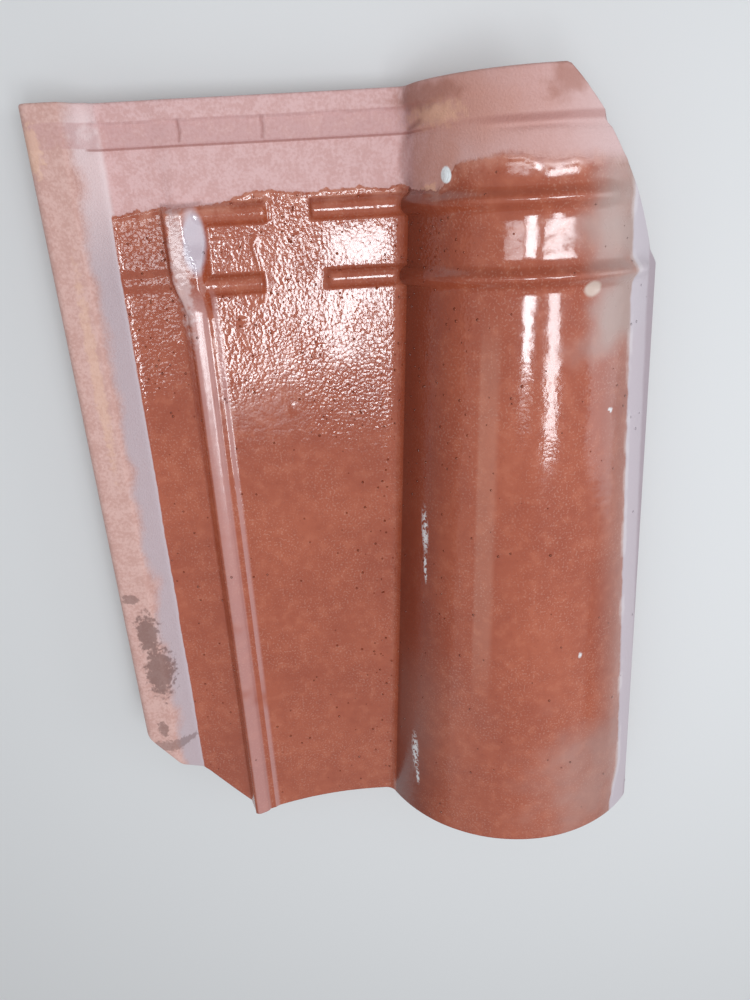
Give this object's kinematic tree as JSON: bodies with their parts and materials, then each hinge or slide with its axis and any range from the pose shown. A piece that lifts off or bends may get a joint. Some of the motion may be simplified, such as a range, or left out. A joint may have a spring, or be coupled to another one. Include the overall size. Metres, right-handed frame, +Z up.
{
  "type": "clay roof tile",
  "caption": "Interlocking glazed clay roof tile with a raised roll, a dished pan, a side lip, cross ribs and hanging nibs.",
  "frame": {"origin": "on the floor, under the middle of the tile's box, as it lies unheld", "axes": "+Y up the roof to the head edge, +X across from the lip to the roll, +Z up out of the weather face"},
  "size_m": [0.2966, 0.41, 0.0747],
  "materials": {
    "glazed_clay": "clear brown glaze over red clay, with unglazed pink clay on the head band, the lip and the roll's edge"
  },
  "bodies": {
    "root": {"roof_tile": "glazed_clay"}
  },
  "joints": []
}
